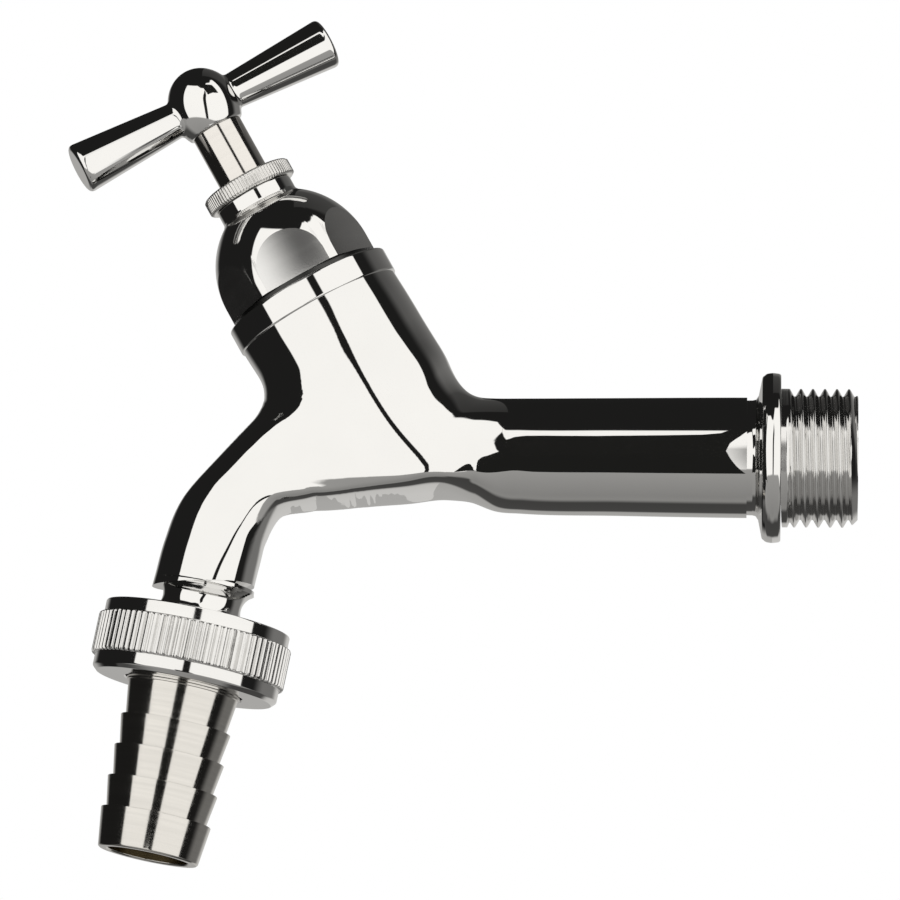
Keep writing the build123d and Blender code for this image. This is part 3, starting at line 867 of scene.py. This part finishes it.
def build_bonnet():
    half = math.acos(FLAT / DOME_R)
    per = 44
    cols = []
    for k in range(6):
        centre = math.radians(60 * k - 90 - 2.4)
        inner = np.linspace(-half, half, per + 1)
        gap = np.linspace(half, math.radians(60) - half, 8)[1:-1]
        cols += [(centre + a, a, True) for a in inner]
        cols += [(centre + a, a, False) for a in gap]
    n = len(cols)
    th = np.array([c[0] for c in cols])
    rel = np.array([c[1] for c in cols])
    flat = np.array([c[2] for c in cols])
    crown = 0.26 - (FLAT * np.tan(rel)) ** 2 / 110.0
    r_flat = np.where(flat, (FLAT + crown) / np.cos(rel), DOME_R)
    r_flat = np.minimum(r_flat, DOME_R)
    t_start = DOME_C + DOME_H * np.sqrt(np.maximum(0, 1 - (r_flat / DOME_R) ** 2))
    rows_r, rows_h = [], []
    # inner throat and gland neck top come first
    def ring(r, h):
        rows_r.append(np.full(n, r))
        rows_h.append(np.full(n, h))

    ring(5.0, 44.0)
    ring(5.0, 45.45)
    ring(5.12, 45.6)
    ring(6.0, 45.6)
    ring(6.11, 45.56)
    ring(6.15, 45.45)
    a_end = math.acos(6.55 / DOME_R)
    ring(6.15, 43.75)
    ring(6.2, 43.5)
    ring(6.32, 43.3)
    upper = 40
    a_s = np.arccos(np.clip(r_flat / DOME_R, 0, 1))
    for k in range(upper + 1):
        s = k / upper
        a = a_end + (a_s - a_end) * s
        rows_r.append(DOME_R * np.cos(a))
        rows_h.append(DOME_C + DOME_H * np.sin(a))
    lower = 8
    for k in range(1, lower + 1):
        s = k / lower
        rows_r.append(r_flat.copy())
        rows_h.append(t_start + (LEDGE - t_start) * s)
    ring(11.25, LEDGE)
    ring(11.2, LEDGE - 0.06)
    ring(11.2, 28.95)
    ring(DOME_R, 28.9)
    ring(DOME_R, 28.2)
    ring(10.4, 28.2)
    ring(10.4, 21.5)
    ring(9.9, 20.9)
    ring(7.9, 20.9)
    ring(7.9, 23.5)
    ring(6.0, 23.5)
    ring(6.0, 36.6)
    ring(4.05, 36.6)
    ring(4.05, 38.2)
    ring(5.0, 38.2)
    R, H = np.array(rows_r), np.array(rows_h)
    T = np.broadcast_to(th, R.shape)
    V = BONNET.at(R, T, H).reshape(-1, 3)
    m = len(R)
    faces = []
    for i in range(m):
        a, b = i * n, ((i + 1) % m) * n
        for j in range(n):
            k = (j + 1) % n
            faces.append((a + j, a + k, b + k, b + j))
    ob = new_object("bonnet_dome", V, faces, "tap_body", "bonnet", [M_CHROME, M_FLAT, M_RECESS_PAINTED_SHADE], sharp=9.0, merge=1e-3)
    for p in ob.data.polygons:
        c = np.array(p.center) * 1000 - P0
        h = float(c @ BD)
        q = c - BD * h
        r = float(np.linalg.norm(q))
        turn = math.degrees(math.atan2(q[1], float(q @ BU))) + 90 + 2.4
        rel = (turn + 30) % 60 - 30
        if h > LEDGE and abs(r * math.cos(math.radians(rel)) - FLAT) < 0.29 and h < 38.2 and abs(rel) < 25.9:
            s = math.sqrt(max(0.0, 1 - (r / DOME_R) ** 2))
            if h < DOME_C + DOME_H * s - 0.02:
                p.material_index = 1
        # faces in the groove under the flats get the near-black material: painted shade in the recess
        if 28.9 < h < LEDGE + 0.01 and r < 12.0:
            p.material_index = 2
    return ob


# ---------------------------------------------------------------------------
# Gland screw, spindle, handle
# ---------------------------------------------------------------------------
def ridge(theta, count, seed=0.0):
    """Rounded straight knurl, 1 on the ridge and 0 in the groove."""
    c = np.cos(theta * count)
    w = 0.5 + 0.5 * np.tanh(2.2 * (c + 0.25)) / np.tanh(2.2 * 1.25)
    return np.clip(w, 0, 1)


def build_gland():
    count = 84
    prof = rounded(
        [
            (4.05, 42.2, 0),
            (4.95, 42.2, 0.2),
            (4.95, 45.65, 0),
            (6.7, 45.65, 0.1),
            (6.95, 45.8, 0),
            (7.15, 46.0, 0),
            (7.15, 46.6, 0),
            (7.15, 47.1, 0),
            (7.15, 47.9, 0),
            (6.95, 48.1, 0),
            (6.7, 48.2, 0.1),
            (4.3, 48.2, 0.1),
            (4.05, 47.8, 0),
        ],
        seg=3,
    )

    def radius(R, H, T):
        k = smooth_window(R, 6.75, 7.12) * (1 - smooth_window(np.abs(H - 46.82), 0.95, 1.2) * 0.6)
        vary = 0.05 * np.sin(T * 5.0 + 0.7) + 0.04 * np.sin(T * 13.0)
        return R - k * 0.15 * (1 - ridge(T, count)) + k * vary * 0.25

    lathe("gland_screw", BONNET, prof, "tap_body", "gland_nut", [M_GLAND], n=count * 8, sharp=40, radius=radius)


def build_spindle():
    V1, F1 = lathe_arrays(
        BONNET,
        rounded(
            [
                (0, 25.8, 0),
                (2.58, 25.8, 0),
                (2.58, 16.55, 0),
                (4.25, 16.55, 0.2),
                (4.6, 16.95, 0.1),
                (4.6, 23.9, 0),
                (4.7, 24.2, 0),
                (4.7, 30.5, 0),
                (3.95, 30.7, 0.1),
                (3.95, 57.25, 0),
                (3.75, 57.3, 0),
                (0, 57.3, 0),
            ]
        ),
        120,
    )
    new_object("spindle_stem", V1, F1, "spindle_and_handle", "spindle", [M_STEM], sharp=32)
    V, F = thread_arrays(BONNET, 24.0, 30.6, 2.0, 5.93, 4.9, 4.5, n=120, runout=0.5, start_plain=0.1, chamfer=0.6)
    new_object("spindle_thread", V, F, "spindle_and_handle", "spindle", [M_BRASS], sharp=50)
    # driving square with broken corners
    c, s = math.cos(HANDLE_TURN), math.sin(HANDLE_TURN)
    ax, ay = BU * c + EY * s, -BU * s + EY * c
    a, b = 2.7, 2.35
    ring = [(a, -b), (a, b), (b, a), (-b, a), (-a, b), (-a, -b), (-b, -a), (b, -a)]
    V, F = [], []
    for t in (57.0, 63.4, 63.7):
        k = 1.0 if t < 63.5 else 0.9
        V += [P0 + BD * t + ax * x * k + ay * y * k for x, y in ring]
    for i in range(2):
        for j in range(8):
            F.append((i * 8 + j, i * 8 + (j + 1) % 8, (i + 1) * 8 + (j + 1) % 8, (i + 1) * 8 + j))
    F.append(tuple(range(8)))
    F.append(tuple(range(16, 24)))
    new_object("spindle_square", V, F, "spindle_and_handle", "spindle", [M_BRASS], sharp=20)


HUB_T = 61.4


def handle_local(x, y, z):
    """Row frame to the handle's own axes: along the bar, across it, along the stem."""
    dx, dy, dz = x - P0[0], y, z
    t = dx * BD[0] + dz * BD[2] - HUB_T
    u = dx * BU[0] + dz * BU[2]
    c, s = math.cos(HANDLE_TURN), math.sin(HANDLE_TURN)
    return u * c + dy * s, -u * s + dy * c, t


def handle_field(x, y, z):
    a, b, t = handle_local(x, y, z)
    # egg-shaped hub, a little taller above the bar, cut flat below
    up = np.where(t > 0, t / 5.95, t / 6.9)
    q = np.sqrt((a**2 + b**2) / 5.35**2 + up**2)
    hub = (q - 1) * 5.35
    hub = smax(hub, -(t + 4.1), 0.25)
    along = np.abs(a)
    r = 2.65 + (along - 3.5) * (3.95 - 2.65) / (21.6 - 3.5)
    rho = np.sqrt(b**2 + t**2)
    arm = (rho - r) * 0.998
    arm = smax(arm, along - 21.6, 0.9)
    d = smin(hub, arm, 0.5)
    # socket for the spindle
    sock = np.maximum(np.maximum(np.abs(a), np.abs(b)) - 2.75, t - 2.5)
    d = smax(d, -sock, 0.1)
    screw = np.maximum(np.sqrt(a**2 + t**2) - 1.5, -b)
    return smax(d, -screw, 0.15)


def build_handle():
    centre = P0 + BD * HUB_T
    reach = 22.3
    ex = abs(BU[0]) * reach + 6
    ez = abs(BU[2]) * reach + 6
    h = 0.22
    field_object(
        "tee_handle",
        handle_field,
        (centre[0] - ex, -8.6, centre[2] - ez),
        (centre[0] + ex, 8.6, centre[2] + ez),
        h,
        [],
        "spindle_and_handle",
        "t_handle",
        [M_ARM],
    )


# ---------------------------------------------------------------------------
# Union nut and hose tail
# ---------------------------------------------------------------------------
def build_union():
    count = 84
    prof = [
        (13.3, 0.0),
        (13.85, 0.0),
        (14.02, -0.06),
        (14.1, -0.2),
        (14.1, -1.95),
        (14.15, -2.02),
        (14.55, -2.05),
        (14.72, -2.15),
        (14.79, -2.35),
        (14.79, -3.6),
        (14.79, -5.0),
        (14.79, -6.6),
        (14.79, -7.9),
        (14.72, -8.15),
        (14.55, -8.27),
        (14.2, -8.3),
        (14.15, -8.36),
        (14.15, -10.0),
        (14.1, -10.14),
        (13.98, -10.28),
        (13.5, -10.74),
        (13.35, -10.8),
        (9.2, -10.8),
        (9.0, -10.6),
        (9.0, -8.8),
        (13.27, -8.8),
        (13.27, -0.2),
    ]

    def radius(R, H, T):
        k = smooth_window(R, 14.16, 14.6)
        vary = 0.10 * np.sin(T * 7.0 + 1.3) + 0.08 * np.sin(T * 17.0 + 0.4)
        wob = ridge(T + 0.003 * np.sin(T * 11.0), count)
        return R - k * (0.46 + vary * 0.5) * (1 - wob) - k * np.clip(vary, 0, 1) * 0.2

    V, F = lathe_arrays(OUTLET, prof, count * 8, True, radius)
    ob = new_object("union_nut_shell", V, F, "union_nut", "union_nut", [M_NUT, M_KNURL], sharp=38)
    me = ob.data
    for p in me.polygons:
        c = np.array(p.center) * 1000 - Q0
        h = float(c @ OU)
        r = float(np.linalg.norm(c - OU * h))
        if -8.32 < h < -2.0 and r > 14.16:
            p.material_index = 1


def build_tail():
    e = -10.8
    prof = rounded(
        [
            (6.2, -7.22, 0),
            (12.6, -7.22, 0.1),
            (12.6, -8.75, 0.1),
            (8.7, -8.75, 0),
            (8.7, e - 0.4, 0.06),
            (8.42, e - 0.42, 0.05),
            (8.36, e - 0.8, 0.2),
            (7.7, e - 5.66, 0.03),
            (8.42, e - 5.72, 0.05),
            (7.64, e - 10.38, 0.03),
            (8.42, e - 10.44, 0.05),
            (7.64, e - 15.18, 0.03),
            (8.42, e - 15.24, 0.05),
            (7.64, e - 19.98, 0.03),
            (8.42, e - 20.04, 0.05),
            (7.68, e - 25.85, 0.25),
            (7.45, e - 26.06, 0.15),
            (6.45, e - 26.06, 0.1),
            (6.2, e - 25.85, 0.1),
        ],
        seg=3,
    )
    V, F = lathe_arrays(OUTLET, prof, 200, True)
    ob = new_object("barbed_tail", V, F, "hose_tail", "hose_tail", [M_TAIL, M_BRASS_BORE], sharp=28)
    for p in ob.data.polygons:
        c = np.array(p.center) * 1000 - Q0
        h = float(c @ OU)
        r = float(np.linalg.norm(c - OU * h))
        if r < 6.3 and h > e - 25.8:
            p.material_index = 1


build_body()
build_bonnet()
build_gland()
build_spindle()
build_handle()
build_union()
build_tail()

# the hidden pieces keep their CAD shape and get their own finish
for node, mat in {
    "bonnet_gasket": M_FIBRE,
    "gland_packing": M_PACKING,
    "gland_ring": M_BRASS,
    "valve_jumper": M_BRASS,
    "valve_washer": M_RUBBER,
    "washer_screw": M_BRASS,
    "handle_grub_screw": M_STEEL,
    "tail_washer": M_RUBBER,
}.items():
    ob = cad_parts[node]
    if ob.material_slots:
        for s in ob.material_slots:
            s.material = mat
    else:
        ob.data.materials.append(mat)


# ---------------------------------------------------------------------------
# Stage: pale floor, studio surroundings and camera
# ---------------------------------------------------------------------------
def stage_plane(name, corners, material, glossy=True, camera=True, shadow=True, diffuse=True):
    me = bpy.data.meshes.new(name)
    me.from_pydata([tuple(c) for c in corners], [], [tuple(range(len(corners)))])
    me.materials.append(material)
    ob = bpy.data.objects.new(name, me)
    bpy.context.scene.collection.objects.link(ob)
    ob.visible_camera = camera
    ob.visible_glossy = glossy
    ob.visible_shadow = shadow
    ob.visible_diffuse = diffuse
    ob.visible_transmission = False
    return ob


def emission(name, color, strength):
    m = bpy.data.materials.new(name)
    m.use_nodes = True
    nt = m.node_tree
    for n in list(nt.nodes):
        nt.nodes.remove(n)
    out = nt.nodes.new("ShaderNodeOutputMaterial")
    e = nt.nodes.new("ShaderNodeEmission")
    e.inputs["Color"].default_value = (*color, 1)
    e.inputs["Strength"].default_value = strength
    nt.links.new(e.outputs[0], out.inputs["Surface"])
    return m


def build_stage():
    # floor: pale, seen only from above
    m = bpy.data.materials.new("pale_floor")
    m.use_nodes = True
    nt = m.node_tree
    b = nt.nodes["Principled BSDF"]
    b.inputs["Base Color"].default_value = (0.86, 0.86, 0.86, 1)
    b.inputs["Roughness"].default_value = 0.9
    out = nt.nodes["Material Output"]
    geo = nt.nodes.new("ShaderNodeNewGeometry")
    tr = nt.nodes.new("ShaderNodeBsdfTransparent")
    mix = nt.nodes.new("ShaderNodeMixShader")
    nt.links.new(geo.outputs["Backfacing"], mix.inputs["Fac"])
    nt.links.new(b.outputs[0], mix.inputs[1])
    nt.links.new(tr.outputs[0], mix.inputs[2])
    nt.links.new(mix.outputs[0], out.inputs["Surface"])
    s, z = 6.0, -0.45
    stage_plane("floor", [(-s, -s, z), (s, -s, z), (s, s, z), (-s, s, z)], m, glossy=False)


def build_world():
    w = bpy.data.worlds.new("studio")
    bpy.context.scene.world = w
    w.use_nodes = True
    nt = w.node_tree
    for n in list(nt.nodes):
        nt.nodes.remove(n)
    out = nt.nodes.new("ShaderNodeOutputWorld")
    tc = nt.nodes.new("ShaderNodeTexCoord")
    sep = nt.nodes.new("ShaderNodeSeparateXYZ")
    nt.links.new(tc.outputs["Generated"], sep.inputs[0])
    x, y, z = sep.outputs

    def M(op, a, b=None, clamp=False):
        return math_node(nt, op, a, b, clamp)

    az = M("MULTIPLY", M("ARCTAN2", x, M("MULTIPLY", y, -1.0)), 180 / math.pi)
    el = M("MULTIPLY", M("ARCSINE", z), 180 / math.pi)

    def step(v, edge, soft):
        """0 below the edge, 1 above it."""
        r = nt.nodes.new("ShaderNodeMapRange")
        r.interpolation_type = "SMOOTHSTEP"
        r.inputs["From Min"].default_value = -soft
        r.inputs["From Max"].default_value = soft
        nt.links.new(M("SUBTRACT", v, edge), r.inputs["Value"])
        return r.outputs["Result"]

    def window(v, a, b, soft):
        return M("MULTIPLY", step(v, a, soft), M("SUBTRACT", 1.0, step(v, b, soft)))

    def table(v, lo, hi, pts, olo, ohi):
        """Smooth curve through points (v, value)."""
        c = nt.nodes.new("ShaderNodeFloatCurve")
        k = c.mapping.curves[0]
        for i, (p, q) in enumerate(pts):
            px, py = (p - lo) / (hi - lo), (q - olo) / (ohi - olo)
            if i < 2:
                k.points[i].location = (px, py)
            else:
                k.points.new(px, py)
        for q in k.points:
            q.handle_type = "VECTOR"
        c.mapping.update()
        nt.links.new(M("DIVIDE", M("SUBTRACT", v, lo), hi - lo), c.inputs["Value"])
        return M("ADD", M("MULTIPLY", c.outputs[0], ohi - olo), olo)

    # dark gap between the two panels: its middle and its width move with height
    mid = table(el, -90, 90, [(-90, 3.4), (8, 3.6), (16, 4.4), (30, 7.5), (90, 9.0)], -45, 45)
    half = table(el, -90, 90, [(-90, 3.4), (-10, 4.2), (10, 4.3), (24, 4.6), (34, 2.2), (40, 0.0), (90, 0.0)], -10, 10)
    off = M("SUBTRACT", M("ABSOLUTE", M("SUBTRACT", az, mid)), half)
    gap = M("SUBTRACT", 1.0, step(off, 0.0, 0.7))
    top = table(az, -180, 180, [(-180, 20), (-90, 40), (-60, 46), (-20, 50), (-7, 44.5), (4, 44.5), (20, 62), (42, 63.5), (58, 69), (68, 70), (76, 68), (90, 64), (180, 50)], -90, 90)
    high = M("SUBTRACT", 1.0, step(M("SUBTRACT", el, top), 0.0, 1.2))
    low = step(el, -31.0, 1.6)
    panel = M("MULTIPLY", M("MULTIPLY", window(az, -64, 76, 0.8), high), low)
    white = M("MULTIPLY", panel, M("SUBTRACT", 1.0, gap))
    # grey table below, running up into the gap; dim grey wall behind on the right
    back = step(M("ABSOLUTE", az), 100.0, 16.0)
    floor = M("SUBTRACT", 1.0, step(el, -31.0, 1.6))
    floor = M("MULTIPLY", floor, M("SUBTRACT", 1.0, M("MULTIPLY", M("MULTIPLY", back, step(el, -74.0, 6.0)), 0.84)))
    shade = table(el, -90, 90, [(-90, 0.26), (-60, 0.31), (-31, 0.36), (90, 0.36)], 0.0, 1.0)
    edge = M("MULTIPLY", step(M("ABSOLUTE", az), 150.0, 10.0), M("MULTIPLY", window(el, -34.0, 16.0, 5.0), 0.42))
    fade = table(el, -90, 90, [(-90, 0.19), (22, 0.18), (42, 0.05), (90, 0.02)], 0.0, 1.0)
    side = M("MULTIPLY", M("MULTIPLY", step(az, 106.0, 11.0), step(el, -31, 6.0)), fade)
    total = M("ADD", M("MULTIPLY", white, 1.14), 0.014)
    total = M("ADD", total, M("MULTIPLY", floor, shade))
    total = M("ADD", total, side)
    total = M("ADD", total, edge)
    bg = nt.nodes.new("ShaderNodeBackground")
    col = nt.nodes.new("ShaderNodeCombineColor")
    nt.links.new(total, col.inputs[0])
    nt.links.new(M("MULTIPLY", total, 0.985), col.inputs[1])
    nt.links.new(M("MULTIPLY", total, 0.955), col.inputs[2])
    nt.links.new(col.outputs[0], bg.inputs["Color"])
    cam_bg = nt.nodes.new("ShaderNodeBackground")
    cam_bg.inputs["Color"].default_value = (1.0, 1.0, 1.0, 1)
    lp = nt.nodes.new("ShaderNodeLightPath")
    mix = nt.nodes.new("ShaderNodeMixShader")
    nt.links.new(lp.outputs["Is Camera Ray"], mix.inputs[0])
    nt.links.new(bg.outputs[0], mix.inputs[1])
    nt.links.new(cam_bg.outputs[0], mix.inputs[2])
    nt.links.new(mix.outputs[0], out.inputs["Surface"])


def build_cards():
    black = emission("card_black", (0.014, 0.014, 0.013), 1.0)
    # dark card close in front of the pipe
    y = -0.0165
    top = [(-0.0414, 0.0040), (-0.0406, 0.0062), (-0.0385, 0.0071), (-0.036, 0.0073), (-0.028, 0.0070), (-0.018, 0.0074), (-0.012, 0.0078), (-0.0092, 0.0088), (-0.0078, 0.0112)]
    right = [(-0.0048, 0.0112), (-0.0062, 0.0070), (-0.0078, 0.0034), (-0.0084, 0.0002), (-0.0077, -0.0030), (-0.0068, -0.0062), (-0.0054, -0.0104)]
    low = [(-0.0200, -0.0105), (-0.0380, -0.0105), (-0.0412, -0.0098)]
    stage_plane("card_pipe", [(x, y, z) for x, z in top + right + low], black, camera=False, shadow=False, diffuse=False)
    # narrow dark card in front of the tail
    tail = [(-0.0962, -0.0322), (-0.0838, -0.0322), (-0.0905, -0.0665), (-0.1032, -0.0665)]
    # dark card above the right arm
    arm = [(-0.0838, 0.0600), (-0.0790, 0.0634), (-0.0735, 0.0659), (-0.0685, 0.0688), (-0.0749, 0.0800), (-0.0897, 0.0708)]
    stage_plane("card_arm", [(x, -0.016, z) for x, z in arm], black, camera=False, shadow=False, diffuse=False)
    # soft card in front of the bonnet's front flat, light on the left and dark on the right
    m = emission("card_soft", (1.0, 0.99, 0.965), 1.0)
    nt = m.node_tree
    e = next(n for n in nt.nodes if n.type == "EMISSION")
    vec = coords(nt, rotation=TO_BONNET)
    sep = nt.nodes.new("ShaderNodeSeparateXYZ")
    nt.links.new(vec, sep.inputs[0])
    flat_x = float(P0 @ BU) / 1000
    r = nt.nodes.new("ShaderNodeMapRange")
    r.interpolation_type = "SMOOTHSTEP"
    r.inputs["From Min"].default_value = flat_x - 0.0078
    r.inputs["From Max"].default_value = flat_x + 0.0022
    r.inputs["To Min"].default_value = 1.12
    r.inputs["To Max"].default_value = 0.10
    nt.links.new(sep.outputs[0], r.inputs["Value"])
    nt.links.new(r.outputs["Result"], e.inputs["Strength"])
    corners = []
    for u, t in ((-8.5, 31.0), (6.6, 31.0), (6.6, 41.0), (-8.5, 41.0)):
        q = P0 + BU * u + BD * t
        corners.append((q[0] / 1000, -0.020, q[2] / 1000))
    stage_plane("card_flat", corners, m, camera=False, shadow=False, diffuse=False)
    stage_plane("card_tail", [(x, -0.045, z) for x, z in tail], black, camera=False, shadow=False, diffuse=False)


def build_lights():
    for name, loc, size, power in (
        ("key", (-0.9, -1.3, 1.2), 0.9, 14.0),
        ("fill", (1.1, -1.0, 0.9), 0.9, 8.0),
    ):
        light = bpy.data.lights.new(name, "AREA")
        light.shape = "SQUARE"
        light.size = size
        light.energy = power
        light.color = (1.0, 0.985, 0.96)
        ob = bpy.data.objects.new(name, light)
        bpy.context.scene.collection.objects.link(ob)
        ob.location = loc
        ob.rotation_mode = "QUATERNION"
        ob.rotation_quaternion = (Vector((-0.05, 0, 0)) - Vector(loc)).to_track_quat("-Z", "Y")
        ob.visible_camera = False
        ob.visible_glossy = False


AZ, EL, ROLL = math.radians(1.5), math.radians(-8.7), math.radians(0.6)
TARGET = Vector((-0.0500, 0.0, 0.0009))
DIST = 1.8
WIDTH = 0.136


def build_camera():
    cam = bpy.data.cameras.new("camera")
    ob = bpy.data.objects.new("camera", cam)
    bpy.context.scene.collection.objects.link(ob)
    back = Vector((math.sin(AZ) * math.cos(EL), -math.cos(AZ) * math.cos(EL), math.sin(EL)))
    ob.location = TARGET + back * DIST
    q = (-back).to_track_quat("-Z", "Y")
    ob.rotation_mode = "QUATERNION"
    # turning the camera anticlockwise turns the picture clockwise
    ob.rotation_quaternion = q @ Matrix.Rotation(ROLL, 3, "Z").to_quaternion()
    cam.sensor_width = 36.0
    cam.lens = 36.0 * DIST / WIDTH
    cam.clip_start, cam.clip_end = 0.01, 100
    cam.dof.use_dof = False
    bpy.context.scene.camera = ob


bpy.context.scene.view_settings.view_transform = "Standard"
build_stage()
build_world()
build_cards()
build_lights()
build_camera()
